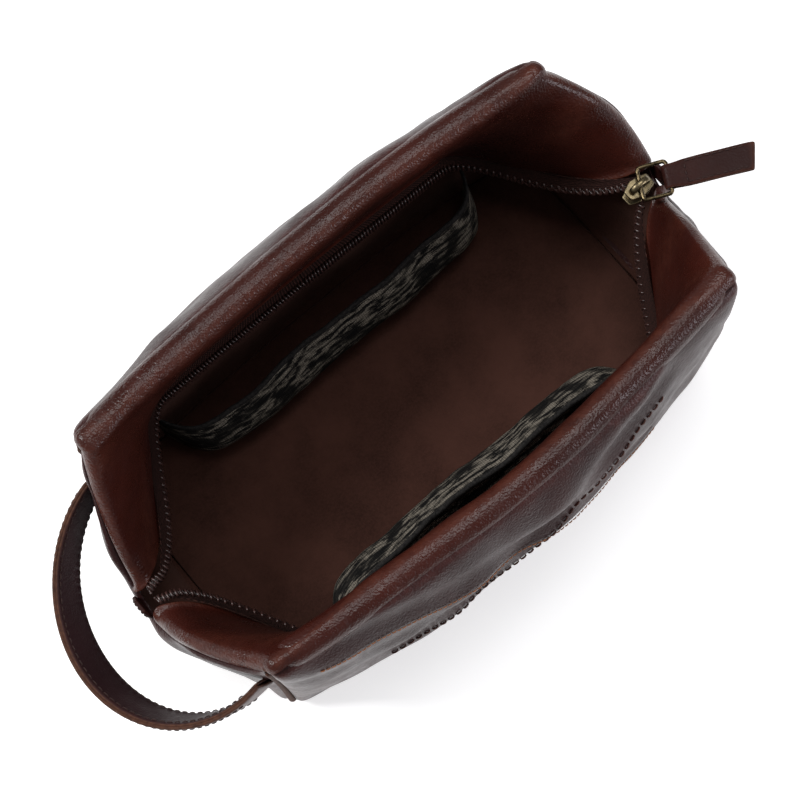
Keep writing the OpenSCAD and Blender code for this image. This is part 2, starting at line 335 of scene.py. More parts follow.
def lining_section(width, x, steps=10):
    """Lining on the hidden side of the flap, from the roll to the zip tape."""
    (root_r, root_t), _, _ = tape_line(width, x)
    start = (6.5, -ROLL_R + 2.6)
    end = (root_r - 0.6, root_t - 0.75 - 2.0 * smooth((abs(x) - 96) / 20))
    return [(lerp(start[0], end[0], i / steps), lerp(start[1], end[1], i / steps)
             + 0.1 * math.sin(math.pi * i / steps)) for i in range(steps + 1)]


def flap_columns(sections=34):
    """Distances from the middle for the columns of one flap half, closer near the twist."""
    return [0.0, 1.2] + [ZIP_END * (1 - (1 - i / sections) ** 1.15) for i in range(1, sections + 1)]


RIM_R = 4.6
RIM_STEPS = 6
END_SWELL = {(1, 1): 10.0, (1, -1): 3.0, (-1, -1): 7.5, (-1, 1): 0.5}


def end_of_flap(s, side, end):
    """Where a flap ends along X; s is 0 at the ridge and 1 at the zip."""
    return lerp(HALF_LENGTH - 4.0, ZIP_END - 5.0, s ** 0.9) + END_SWELL[side, end] * math.sin(
        math.pi * s) ** 0.9


def pull_room(x, s):
    """How far the front flap sinks at the closed end of the zip, where the pull tab lies."""
    return 2.8 * smooth((abs(x) - 66) / 30) * math.sin(math.pi * s) ** 2


def flap_leather_rows(side, end):
    """Leather of one flap half, its rim rolled down over the end wall."""
    columns = flap_columns()
    rows, wear_rows = [], []
    for k in columns:
        u = k / ZIP_END
        row, wear_row = [], []
        n = 0
        at_zip = u * end_of_flap(1, side, end)
        points, wear = leather_section(flap_frame(end * at_zip, side)[3], at_zip)
        for (r, t), w in zip(points, wear):
            s = n / (len(points) - 1)
            x = end * u * end_of_flap(max(0.0, (n - 8) / (len(points) - 9)), side, end)
            p = flap_point(x, r, t, side)
            along, out = flap_dirs(x, side)
            if side < 0 and end < 0:
                p = p - out * pull_room(x, s)
            q = np.array([soft_x(p[0]), p[1], p[2]])
            fine = 0.9 * noise_at(q, 26, 2.0 + side) + 0.35 * noise_at(q, 9, 5.0)
            pull = smooth((abs(x) - 96) / 30) * smooth(s * 4) * smooth((1 - s) * 6)
            folds = pull * max(-0.5, 1.1 * math.sin(s * 15 + x * 0.09 + side)
                               + 1.2 * noise_at(q, 7, 9.0)) * (0.5 if side < 0 and end < 0 else 1.0)
            p = p + out * (fine * smooth(s * 3) * smooth((1 - s) * 5) + folds)
            row.append(p)
            wear_row.append(w + 0.35 * pull * max(0.0, math.sin(s * 15 + x * 0.09 + side)))
            n += 1
        rows.append(row)
        wear_rows.append(wear_row)
    for i in range(1, RIM_STEPS + 1):
        ang = math.radians(115) * i / RIM_STEPS
        row = []
        for j, p in enumerate(rows[len(columns) - 1]):
            along, out = flap_dirs(p[0], side)
            lean = lerp(ARC_FROM, ARC_TO, min(1.0, j / 8))
            normal = out * math.cos(lean) - along * math.sin(lean)
            row.append(np.array(p) + np.array([end * RIM_R * math.sin(ang), 0, 0])
                       - normal * RIM_R * (1 - math.cos(ang)))
        rows.append(row)
        wear_rows.append([0.75 * math.sin(ang) if i < RIM_STEPS else 0.2] * len(row))
    return rows, wear_rows


def flap_rows(side, end, section, inset=0.0):
    """One flap half swept along X from a section: the lining or the tape."""
    rows = []
    for k in flap_columns():
        u = k / ZIP_END
        at_zip = u * (end_of_flap(1, side, end) - inset)
        points = section(flap_frame(end * at_zip, side)[3], at_zip)
        row = []
        for n, (r, t) in enumerate(points):
            s = n / (len(points) - 1)
            x = end * u * (end_of_flap(s, side, end) - inset)
            p = flap_point(x, r, t, side)
            if section is lining_section and side < 0 and end < 0:
                p = p - flap_dirs(x, side)[1] * pull_room(x, 0.33 + 0.67 * s)
            row.append(p)
        rows.append(row)
    return rows


# ---- flaps: leather, lining, tape and coil, each in two halves that bend into the ends ----
def tape_section(width, x):
    """Both faces of the tape and its turned edge, from under the leather to the coil."""
    root, along, across = tape_line(width, x)
    wide = tape_at(x)
    return [tuple(root + along * d + across * 0.35) for d in
            (-2.2, -0.8, 0.25 * wide, 0.5 * wide, 0.75 * wide, wide - 0.5)]


def hold(piece, end, side, kind, slot, *nodes):
    """A piece of a flap half, baked in place and kept with the flap pieces of its kind; it stands for
    these nodes of the frame.
    """
    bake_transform(piece)
    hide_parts(*nodes)
    flaps[kind].append(piece)


def coil_path(side, end, steps_per_turn=10, pitch=COIL_PITCH):
    """Helix of nylon monofilament wound along the free edge of the tape."""
    reach = ZIP_END - (13.5 if end > 0 else 4.5)
    turns = int(reach / pitch)
    points = []
    for i in range(turns * steps_per_turn + 1):
        x = 0.4 + i * pitch / steps_per_turn
        width = flap_frame(end * x, side)[3]
        ang = 2 * math.pi * i / steps_per_turn
        root, along, across = tape_line(width, x)
        rise = math.copysign(abs(math.sin(ang)) ** 0.55, math.sin(ang))
        r, t = (root + along * (tape_at(x) - 2.3 + WIDE_LOOP * math.cos(ang))
                + across * (1.7 + FLAT_LOOP * rise))
        points.append(flap_point(end * x, r, t, side))
    return points


SIDE = {1: "back", -1: "front"}
END = {1: "right", -1: "left"}
flap_edges = {}
flaps = {"leather": [], "lining": [], "tape": [], "coil": []}
for side in (1, -1):
    for end in (1, -1):
        name = f"{SIDE[side]}_{END[end]}"
        rows, wear = flap_leather_rows(side, end)
        flap_edges[side, end] = np.asarray(rows)
        leather = sheet(f"{name}_flap_leather", rows, away_from=(0, 0, 20), wear=wear,
                        levels=1)
        hold(leather, end, side, "leather", "bag_leather",
             f"{SIDE[side]}_flap_leather", f"{name}_gusset")
        lining = sheet(f"{name}_flap_lining", flap_rows(side, end, lining_section, 2.0),
                       towards=(0, 0, 20), levels=1, solid=0.8)
        hold(lining, end, side, "lining", "suede_lining", f"{SIDE[side]}_flap_lining")
        tape = sheet(f"{name}_zip_tape", flap_rows(side, end, tape_section, 3.0),
                     away_from=(0, 0, 20), levels=1, solid=0.7)
        hold(tape, end, side, "tape", "zip_tape",
             f"{SIDE[side]}_zip_tape", f"{END[end]}_tape_ends")
        coil = joined(f"{name}_zip_coil", [tube(coil_path(side, end), COIL_WIRE_R, 6)])
        hold(coil, end, side, "coil", "zip_coil", f"{SIDE[side]}_zip_coil")


# ---- outer walls: one panel per side, sharing the corner seams ----
def resample(points, count):
    """The same line as evenly spaced points."""
    points = np.asarray(points, float)
    run = run_along(points)
    at = np.linspace(0, run[-1], count)
    return np.stack([np.interp(at, run, points[:, k]) for k in range(3)], axis=1)


def foot(x, side):
    """Foot of a long wall, on the edge of the base panel."""
    u = min(1.0, abs(x) / HALF_LENGTH)
    return CORNER_Y - (1.5 if side > 0 else -3.5) + 7.5 * (1 - u ** 3)


CORNER_X = HALF_LENGTH + 1.0
DOWN = [0.0, 0.012, 0.03, 0.055, 0.085] + list(np.linspace(0.115, 0.93, 27)) + [
    0.95, 0.968, 0.984, 1.0]
FOOT_Z = 2.0


def corner_line(side, end):
    """The corner seam from its ridge end to the base."""
    top = flap_edges[side, end][-1][0]
    bottom = np.array([end * (CORNER_X - 2.0), side * foot(HALF_LENGTH, side), FOOT_Z])
    line = []
    for h in DOWN:
        p = lerp(top, bottom, h)
        inset = 1.0 * math.sin(math.pi * h) + 2.4 * smooth((h - 0.9) / 0.1)
        line.append(p + np.array([-end * inset, -side * inset, 0]))
    return np.array(line)


corners = {(s, e): corner_line(s, e) for s in (1, -1) for e in (1, -1)}


def panel(top, bottom, left, right, outward, bulge, seed, crease=2.6, tucked=0.0):
    """A leather panel between two edges and two seams, slack enough to bulge."""
    n = len(top)
    run = run_along(bottom)
    rows, wear = [], []
    for i in range(n):
        s = i / (n - 1)
        edge_gap = min(run[i], run[-1] - run[i])
        column, wcol = [], []
        height = np.linalg.norm(top[i] - bottom[i])
        for j, h in enumerate(DOWN):
            p = lerp(top[i], bottom[i], h)
            blend_l, blend_r = math.exp(-run[i] / 9.0), math.exp(-(run[-1] - run[i]) / 9.0)
            p = p + (left[j] - lerp(left[0], left[-1], h)) * blend_l
            p = p + (right[j] - lerp(right[0], right[-1], h)) * blend_r
            gap = min(edge_gap, (1 - h) * height * 1.6)
            rise = (1 - math.exp(-gap / 3.6)) * (1 - math.exp(-h * height / 1.5))
            n1 = noise_at(p, 34, seed)
            n2 = noise_at(p, 13, seed + 4)
            n3 = noise_at((p[0] * 0.3, p[1] * 0.3, p[2] + 0.12 * p[0]), 11, seed + 7)
            fold = rise * (1.9 * n1 + 0.6 * n2 + 1.5 * n3)
            out = np.asarray(outward(p), float)
            tuck = tucked * math.exp(-h * height / 1.3) * min(1.0, edge_gap / 8.0)
            p = p + out * (crease * rise + bulge(s, h) + fold - tuck) - np.array([0, 0, 0.7 * tuck])
            if i in (0, n - 1):
                p = (left if i == 0 else right)[j]
            column.append(p)
            wcol.append(0.75 * math.exp(-((edge_gap - 4.0) / 2.6) ** 2)
                        + 0.6 * math.exp(-((h * height - 4.0) / 2.6) ** 2) * (h > 0)
                        + 0.5 * math.exp(-(((1 - h) * height - 3) / 2.6) ** 2)
                        + 0.25 * max(0.0, n2))
        rows.append(column)
        wear.append(wcol)
    return np.array(rows), np.array(wear)


CROSS = [(-109.0, 109.5, 69.0, 71.0), (-80.0, 67.0, 76.0, 103.0)]
walls = []
wall_grids = {}
for side in (1, -1):
    left, right = flap_edges[side, -1][::-1, 0], flap_edges[side, 1][1:, 0]
    top = resample(np.concatenate([left, right]), 73)
    bottom = np.array([[x, side * foot(x, side), FOOT_Z] for x in
                       np.linspace(-CORNER_X + 2.0, CORNER_X - 2.0, 73)])
    bulge_to = BULGE[side]

    def long_bulge(s, h, side=side, bulge_to=bulge_to):
        across = (1 - abs(2 * s - 1) ** 3.2) * (1 - 0.28 * s if side < 0 else 1.0)
        dip = 0.0
        if side < 0:
            x, z = lerp(-CORNER_X, CORNER_X, s), lerp(113.0, FOOT_Z, h)
            for x0, z0, x1, z1 in CROSS:
                t = (x - x0) / (x1 - x0)
                edge = smooth((t + 0.06) / 0.12) * smooth((1.06 - t) / 0.12)
                gap = z - lerp(z0, z1, t)
                dip -= edge * (1.7 * math.exp(-(gap / 3.2) ** 2)
                               - 1.1 * math.exp(-((abs(gap) - 9.0) / 5.0) ** 2))
        return bulge_to * across * math.sin(math.pi * h ** 0.72) + dip

    rows, wear = panel(top, bottom, corners[side, -1], corners[side, 1],
                       lambda p, side=side: (0, side, 0), long_bulge, 3.0 + side, tucked=3.4)
    wall = sheet(f"{SIDE[side]}_wall_leather", rows, away_from=(0, 0, 60), wear=wear,
                 levels=1, solid=1.5)
    fit_out(wall, "shell", "bag_leather", f"{SIDE[side]}_wall")
    walls.append(wall)
    wall_grids[SIDE[side]] = rows

for end in (1, -1):
    half_f = flap_edges[-1, end][-1][:21]
    half_b = flap_edges[1, end][-1][:21][::-1]
    middle = np.array([[end * (ZIP_END - 1.6), 0.0, ZIP_HEIGHT - 8.0]])
    top = resample(np.concatenate([half_f, middle, half_b]), 41)
    bottom = np.array([[end * (CORNER_X - 2.0 + 3.0 * (1 - (y / CORNER_Y) ** 2)), y, FOOT_Z]
                       for y in np.linspace(-foot(HALF_LENGTH, -1), foot(HALF_LENGTH, 1), 41)])

    def end_bulge(s, h):
        across = 1 - abs(2 * s - 1) ** 2.2
        return 5.0 * across * math.sin(math.pi * h ** 0.8)

    rows, wear = panel(top, bottom, corners[-1, end], corners[1, end],
                       lambda p, end=end: (end, 0, 0), end_bulge, 8.0 + end, crease=2.2)
    wall = sheet(f"{END[end]}_end_leather", rows, away_from=(0, 0, 60), wear=wear,
                 levels=1, solid=1.5)
    fit_out(wall, "shell", "bag_leather", f"{END[end]}_end_wall")
    walls.append(wall)
    wall_grids[END[end]] = rows

# ---- welts sewn into the corner seams ----
welts = joined("corner_welts_leather", [tube(resample(corners[k][3:], 28)
               + np.array([k[1] * 0.5, k[0] * 0.5, 0.6]), 1.7, 8) for k in corners], levels=1)
fit_out(welts, "shell", "seam_leather", "corner_welts")

# ---- ridge rolls and the seam below each ----
rolls, seams = [], []
for side in (1, -1):
    path = [(x, side * ridge(x, side)[0], ridge(x, side)[1])
            for x in np.linspace(-HALF_LENGTH + 5.5, HALF_LENGTH - 5.5, 70)]
    ends = [min(1.0, math.sqrt(max(0.02, 1 - (1 - min(1.0, (k + 0.4) / 3.0)) ** 2)))
            for k in range(4)]
    radii = [ROLL_R * r for r in ends] + [ROLL_R] * 62 + [ROLL_R * r for r in ends[::-1]]
    roll = joined(f"{SIDE[side]}_ridge", [tube(path, radii, 20)])
    fit_out(roll, "shell", "ridge_leather", f"{SIDE[side]}_ridge_roll")
    rolls.append(roll)
    top = resample(np.concatenate([flap_edges[side, -1][::-1, 0], flap_edges[side, 1][1:, 0]]), 110)
    seam = joined(f"{SIDE[side]}_ridge_seam_edge",
                  [tube(top + np.array([0, -side * 2.0, -1.8]), 0.8, 8)])
    fit_out(seam, "shell", "seam_leather", f"{SIDE[side]}_ridge_seam")
    seams.append(seam)


# ---- reading a point and its normal off a panel ----
def on_panel(grid, x, z, side):
    """Point and outward direction on a long wall at length x and height z."""
    mid = grid.shape[1] // 2
    fi = float(np.interp(x, grid[:, mid, 0], np.arange(grid.shape[0])))
    i = min(int(fi), grid.shape[0] - 2)
    column = lerp(grid[i], grid[i + 1], fi - i)
    order = np.argsort(column[:, 2])
    y = float(np.interp(z, column[order, 2], column[order, 1]))
    above = float(np.interp(z + 2, column[order, 2], column[order, 1]))
    return np.array([x, y, z]), unit((0, side, -(above - y) / 2 * side))


# ---- base ----
def outline_rows(inset, z, wave=0.0, across=17):
    rows = []
    for x in np.linspace(-CORNER_X + 2.2 + inset, CORNER_X - 2.2 - inset, 41):
        past = max(0.0, (abs(x) - CORNER_X + 7.2 + inset) / 5.2)
        corner = 2.2 * (1 - math.sqrt(max(0.0, 1 - past ** 2)))
        row = []
        for v in np.linspace(-1, 1, across):
            y = v * (foot(x, 1 if v > 0 else -1) - inset - corner)
            bowed = x + math.copysign(3.0, x) * (1 - (y / CORNER_Y) ** 2) * (abs(x) / CORNER_X) ** 4
            row.append((bowed, y, z + wave * noise_at((x, y, 0), 30, 1.0)
                        + wave * 0.4 * noise_at((x, y, 0), 9, 2.0)))
        rows.append(row)
    return rows


base = sheet("base_leather", outline_rows(-0.3, 2.2), away_from=(0, 0, -50), solid=2.1, levels=0)
fit_out(base, "shell", "bag_leather", "base_panel")
board = sheet("base_stiffener", outline_rows(4.0, 3.9), away_from=(0, 0, -50), solid=1.4)
fit_out(board, "shell", "stiffener", "base_board")
floor_lining = sheet("floor_lining", outline_rows(1.7, 5.2, 0.6), away_from=(0, 0, -50),
                     solid=0.8, levels=1)
fit_out(floor_lining, "shell", "suede_lining", "base_lining")

# ---- linings of the walls, reaching down past the floor lining ----
LINING_DEPTH = 2.7
LINING_FOOT = 3.8
linings = [floor_lining]
lining_grids = {}
for key, grid in wall_grids.items():
    first = 4 if key in ("front", "back") else 1
    rows = grid[:, first:].copy()
    depth = LINING_DEPTH * np.minimum(1.0, np.array(DOWN[first:]) / 0.1 + 0.6)[None, :]
    if key in ("front", "back"):
        side = 1 if key == "back" else -1
        rows[:, :, 1] -= side * depth
        rows[:, :, 0] *= 0.972
    else:
        end = 1 if key == "right" else -1
        rows[:, :, 0] -= end * depth
        rows[:, :, 1] *= 0.955
    rows[:, :, 2] = np.maximum(rows[:, :, 2] - 1.0, LINING_FOOT)
    lining_grids[key] = rows
    at_end = key in ("left", "right")
    lining = sheet(f"{key}_end_lining" if at_end else f"{key}_wall_lining", rows,
                   towards=(0, 0, 50), levels=1, solid=0.8)
    linings.append(fit_out(lining, "shell", "suede_lining",
                           f"{key}_end_lining" if at_end else f"{key}_lining"))


# ---- woven pockets on both long walls ----
def bezier(a, b, c, t):
    return a * (1 - t) ** 2 + b * 2 * t * (1 - t) + c * t * t


# the turned hem in section: height over the pocket's edge, distance out from its cloth
HEM_SECTION = ((-4.6, 0.62), (-2.4, 0.75), (-0.3, 0.72), (0.55, 0.2), (0.5, -0.75), (-0.6, -1.35),
               (-3.2, -1.3))
pockets, hems, picks = [], [], []
for side in (1, -1):
    rows, top_line = [], []
    grid = lining_grids[SIDE[side]]
    for x in np.linspace(-POCKET_HALF + 0.5, POCKET_HALF - 0.5, 75):
        row = []
        held = 1 - math.exp(-(POCKET_HALF - abs(x)) / 6.0)
        for j in range(21):
            t = 1 - j / 20
            depth = bezier(53.0, 25.0, 49.0, t)
            z = bezier(FLOOR_TOP + 0.9, 18.0, POCKET_TOP - 0.6, t)
            z -= 1.6 * t * (1 - held) + 1.4 * t * noise_at((x, 0, 0), 30, 6.0 + side)
            wall = abs(on_panel(grid, x, z, side)[0][1]) - 1.2
            slack = t * (2.0 * noise_at((x, z * 0.4, 0), 24, 11 + side)
                         + 1.0 * math.sin(x / 11.0 + 2 * side + z * 0.05))
            fold = 0.5 * noise_at((x, z, 0), 6, 3.0 + side)
            y = lerp(wall, min(depth + slack + fold, wall), held)
            row.append((x, side * y, z))
        rows.append(row)
        top_line.append(np.array(row[0]))
    pocket = sheet(f"{SIDE[side]}_pocket_cloth", rows, towards=(0, 0, 50), levels=1, solid=0.8)
    fit_out(pocket, "shell", "pocket_weave", f"{SIDE[side]}_pocket")
    pockets.append(pocket)
    band = []
    for p in top_line:
        band.append([p + np.array([0, -side * out, up]) for up, out in HEM_SECTION])
    hem = sheet(f"{SIDE[side]}_pocket_hem_band", band, away_from=top_line[37] + np.array([0, 0, -3]),
                levels=1, solid=0.35, offset=1.0)
    fit_out(hem, "shell", "pocket_binding", f"{SIDE[side]}_pocket_hem")
    hems.append(hem)
    line = [p + np.array([0, -side * 1.0, -3.6]) for p in top_line[1:-1]]
    pick = joined(f"{SIDE[side]}_pocket_stitches",
                  stitches_along(line, [(0, -side, 0)] * len(line), 4.2, 1.7, 0.3))
    fit_out(pick, "shell", "pocket_weave")
    picks.append(pick)


# ---- topstitching ----
def wall_stitches(name, key, side, lines, pitch=3.3, length=2.3, lift_by=0.25, radius=0.42):
    parts = []
    for x0, z0, x1, z1 in lines:
        points, lifts = [], []
        for t in np.linspace(0, 1, 60):
            p, out = on_panel(wall_grids[key], lerp(x0, x1, t), lerp(z0, z1, t), side)
            points.append(p + out * lift_by)
            lifts.append(out)
        parts += stitches_along(points, lifts, pitch, length, radius)
    piece = joined(name, parts)
    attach(piece, "shell")
    return piece


cross = wall_stitches("front_upper_stitches", "front", -1, CROSS[:1], 2.4, 1.8, 0.4, 0.3)
cross_dark = wall_stitches("front_lower_stitches", "front", -1, CROSS[1:], 4.0, 2.8, 0.15, 0.44)
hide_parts("front_topstitch")


# ---- leather tabs over both ends of the zip ----
def slab(name, outline, low, high, bevel=0.4, matrix=None, segments=3):
    """A flat plate from an outline, its edges rounded."""
    n = len(outline)
    verts = [(x, y, low) for x, y in outline] + [(x, y, high) for x, y in outline]
    if matrix is not None:
        verts = [matrix(v) for v in verts]
    faces = [tuple(reversed(range(n))), tuple(range(n, 2 * n))]
    faces += [(i, (i + 1) % n, n + (i + 1) % n, n + i) for i in range(n)]
    piece = build(name, verts, faces, [(v[0], v[1]) for v in verts])
    mod = piece.modifiers.new("edges", "BEVEL")
    mod.width = bevel * MM
    mod.segments = segments
    mod.limit_method = "ANGLE"
    mod.angle_limit = math.radians(40)
    return piece


def rounded(points, radius, steps=6):
    """A polygon with its corners rounded."""
    points = [np.array(p, float) for p in points]
    out = []
    for i, p in enumerate(points):
        a, b = unit(points[i - 1] - p), unit(points[(i + 1) % len(points)] - p)
        half = math.acos(max(-1, min(1, float(np.dot(a, b))))) / 2
        reach = min(radius / math.tan(half), 0.45 * np.linalg.norm(points[i - 1] - p),
                    0.45 * np.linalg.norm(points[(i + 1) % len(points)] - p))
        for k in range(steps + 1):
            t = k / steps
            out.append(bezier(p + a * reach, p, p + b * reach, t))
    return out


tabs = []
for end in (1, -1):
    outline = rounded([(-5.2, -6.5), (5.2, -6.5), (5.6, 0.5), (3.0, 4.2), (-3.0, 4.2),
                       (-5.6, 0.5)], 1.4)

    def place(v, end=end):
        return (end * (ZIP_END + 0.4 + v[2] - 0.012 * v[0] ** 2 + 0.05 * v[1]), v[0],
                ZIP_HEIGHT - 2.2 + v[1])
    tab = slab(f"{END[end]}_zip_end_tab", outline, 0.0, 1.7, 0.5, place)
    fit_out(tab, "shell", "trim_leather", f"{END[end]}_zip_tab")
    tabs.append(tab)
    path = [np.array(place((x, y, 1.72))) for x, y in
            rounded([(-4.2, -5.4), (4.2, -5.4), (4.5, 0.2), (2.4, 3.1), (-2.4, 3.1), (-4.5, 0.2)], 1.2)]
    path.append(path[0])
    sewn = joined(f"{END[end]}_tab_stitches", stitches_along(path, [(end, 0, 0)] * len(path),
                                                            2.2, 1.5, 0.24))
    fit_out(sewn, "shell", "brown_thread")
    tabs.append(sewn)

# ---- slider: two plates round the coils, a post between them, and a crown for the ring ----
SX = RING_AT[0]
SZ = ZIP_HEIGHT


def at_slider(v):
    return (SX + v[0], v[1], SZ + v[2])


brass_parts = []


def brass(piece, body, *nodes):
    brass_parts.append(fit_out(piece, body, "antique_brass", *nodes))


plate = rounded([(-6.9, -2.6), (-2.0, -4.6), (1.5, -4.2), (6.3, -2.7), (6.3, 2.7), (1.5, 4.2),
                 (-2.0, 4.6), (-6.9, 2.6)], 1.5, 5)
brass(slab("slider_top_plate", plate, 4.9, 6.4, 0.5, at_slider, 4), "slider", "slider_body")
brass(slab("slider_bottom_plate", plate, -2.6, -1.2, 0.5, at_slider, 4), "slider")
brass(slab("slider_post", [(-4.4 + 1.1 * math.cos(a), 1.1 * math.sin(a)) for a in
                           np.linspace(0, 2 * math.pi, 17)[:-1]], -1.3, 5.0, 0.1, at_slider), "slider")
for s in (-1, 1):
    rail = rounded([(-1.6, s * 3.9), (-1.6, s * 4.75), (4.8, s * 3.5), (6.3, s * 2.9),
                    (6.1, s * 2.0)], 0.5, 4)
    brass(slab(f"slider_rail_{'front' if s < 0 else 'back'}", rail, 3.8, 5.6, 0.3, at_slider), "slider")
ring_lift = RING_AT[2] - SZ
arch = []
for t in np.linspace(0, 1, 25):
    ang = math.pi * t
    arch.append((-4.9 * math.cos(ang) + 0.3 * math.sin(ang) ** 2, 0.0,
                 6.0 + (ring_lift + 2.2 - 6.0) * math.sin(ang) ** 0.62))
frames = []
for i in range(len(arch)):
    tangent = unit(np.array(arch[min(i + 1, 24)]) - np.array(arch[max(i - 1, 0)]))
    frames.append((np.cross(tangent, (0, 1.0, 0)), np.array([0, 1.0, 0])))
verts, faces = tube([at_slider(p) for p in arch], 1.5, 12, frames, flat=0.5)
crown = joined("slider_crown_arch", [(verts, faces)], levels=1)
brass(crown, "slider", "slider_crown")

# ---- ring ----
PX = unit(TAB_AT - RING_AT)
PY = unit(np.cross((0, 0, 1), PX))
PZ = np.cross(PX, PY)
REACH = float(np.linalg.norm(TAB_AT - RING_AT))


def at_pull(v):
    return RING_AT + PX * v[0] + PY * v[1] + PZ * v[2]


WIRE = 0.98
path = rounded([(0, -7.4), (REACH, -7.6), (REACH, 7.6), (0, 7.4)], 2.0, 7)
ring_path = [at_pull((x, y, 0.0)) for x, y in path]
centre = at_pull((REACH / 2, 0, 0))
n = len(ring_path)
frames = []
for i in range(n):
    tangent = unit(ring_path[(i + 1) % n] - ring_path[i - 1])
    frames.append((PZ, np.cross(tangent, PZ)))
verts, faces = tube(ring_path, WIRE, 14, frames, caps=False)
faces += [((n - 1) * 14 + k, k, (k + 1) % 14, (n - 1) * 14 + (k + 1) % 14) for k in range(14)]
ring = joined("pull_ring_wire", [(verts, faces)], levels=1)
brass(ring, "pull_ring", "pull_ring")

# ---- pull tab: one strip of leather folded round the ring and sewn to itself ----
TAB_LONG = 38.0
TAB_HALF = 6.2
FOLD_R = 2.05


def tab_curve(s):
    """Slight lift and turn of the tab along its length."""
    return 0.0016 * s * s, 0.0009 * s * s


def tab_point(x, y, z):
    lift, turn = tab_curve(max(0.0, x))
    widen = 1.0 + 0.02 * max(0.0, x) / TAB_LONG
    return at_pull((REACH + x, y * widen - turn, z + lift))


profile = [(TAB_LONG - k * 3.1, 0.85 + 0.1 * math.sin(k)) for k in range(11)]
profile += [(5.2, 0.95), (3.4, 1.5)]
profile += [(FOLD_R * math.cos(a), FOLD_R * math.sin(a))
            for a in np.linspace(math.radians(55), math.radians(305), 13)]
profile += [(3.4, -1.5), (5.2, -0.95)]
profile += [(TAB_LONG - k * 3.1, -0.85 - 0.1 * math.sin(k)) for k in range(10, -1, -1)]
rows = []
for k, (x, z) in enumerate(profile):
    row = []
    for v in np.linspace(-1, 1, 9):
        tip = 1.6 * v if x > TAB_LONG - 1 else 0.0
        neck = 0.88 + 0.12 * smooth((x - 1.0) / 7.0)
        row.append(tab_point(x + tip, v * TAB_HALF * neck, z * (1 - 0.12 * abs(v) ** 4)))
    rows.append(row)
tab = sheet("pull_tab_leather", rows, away_from=tab_point(20, 0, 0), solid=1.5, offset=0.0,
            wear=[[0.7 * abs(v) ** 6 + 0.5 * (k in (0, len(profile) - 1)) for v in np.linspace(-1, 1, 9)]
                  for k in range(len(profile))], levels=1)
fit_out(tab, "pull_tab", "trim_leather", "pull_tab")
tab.modifiers["thickness"].material_offset_rim = 1
tab_rows = []
for v in (-1, 1):
    for face in (-1, 1):
        pts = [tab_point(x, v * (TAB_HALF - 1.5), face * 1.66) for x in np.linspace(8.0, 35.5, 30)]
        tab_rows += stitches_along(pts, [PZ * face] * 30, 3.0, 2.1, 0.3)
for face in (-1, 1):
    pts = [tab_point(7.6, y, face * 1.66) for y in np.linspace(-4.6, 4.6, 12)]
    tab_rows += stitches_along(pts, [PZ * face] * 12, 3.0, 2.1, 0.3)
tab_thread = joined("pull_tab_stitches", tab_rows)
fit_out(tab_thread, "pull_tab", "brown_thread", "pull_tab_stitching")

# ---- handle: a strap in two layers from one corner seam round to the other ----
HANDLE_REACH, HANDLE_HALF, HANDLE_WIDTH = 57.5, 57.0, 22.0
HANDLE_LEAN = 8.0
HANDLE_ROOT_Y = -5.0
DROOP = math.radians(20)


def handle_point(a, w, depth):
    """a runs 0 to 180 round the loop, w across the strap, depth inward from its face."""
    ca, sa = math.cos(a), math.sin(a)
    x = -(HANDLE_REACH - depth + 0.16 * sa * w) * sa
    y = (HANDLE_HALF - depth) * ca - HANDLE_LEAN * sa
    z = w + 0.9 * math.sin(2 * a + 0.4)
    return np.array([HANDLE_AT[0] + x * math.cos(DROOP) - z * math.sin(DROOP), HANDLE_ROOT_Y + y,
                     HANDLE_AT[2] + x * math.sin(DROOP) + z * math.cos(DROOP)])


def handle_rows(depth, crown_by, trim=0.0):
    rows = []
    for a in np.linspace(0, math.pi, 61):
        rows.append([handle_point(a, v * (HANDLE_WIDTH / 2 - trim), depth + crown_by * v * v)
                     for v in np.linspace(-1, 1, 11)])
    return rows


inside = (HANDLE_AT[0] - 20, HANDLE_ROOT_Y, HANDLE_AT[2] - 10)
edge_wear = [[0.8 * abs(v) ** 8 for v in np.linspace(-1, 1, 11)]] * 61
outer = sheet("handle_strap_outer", handle_rows(0.3, 0.5), away_from=inside, wear=edge_wear,
              solid=1.9, levels=1)
inner = sheet("handle_strap_inner", handle_rows(3.9, -0.45, 0.2), towards=inside, wear=edge_wear,
              solid=1.5, levels=1)
handle_thread = []
for v in (-1, 1):
    for depth, sign in ((0.35, 1), (4.0, -1)):
        pts, lifts = [], []
        for a in np.linspace(0.12, math.pi - 0.12, 120):
            p = handle_point(a, v * (HANDLE_WIDTH / 2 - 2.3), depth + (0.3 if sign > 0 else -0.25))
            q = handle_point(a, v * (HANDLE_WIDTH / 2 - 2.3), depth + 1.0)
            pts.append(p)
            lifts.append(unit(p - q) * 1.0 if sign > 0 else unit(q - p))
        handle_thread += stitches_along(pts, lifts, 3.4, 2.3, 0.3)
thread = joined("handle_stitches", handle_thread)
for piece, slot in ((outer, "handle_leather"), (inner, "handle_lining"), (thread, "brown_thread")):
    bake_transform(piece)
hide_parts("handle_strap", "handle_roots")
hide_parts("handle_backing")
outer.modifiers["thickness"].material_offset_rim = 1
inner.modifiers["thickness"].material_offset_rim = 1


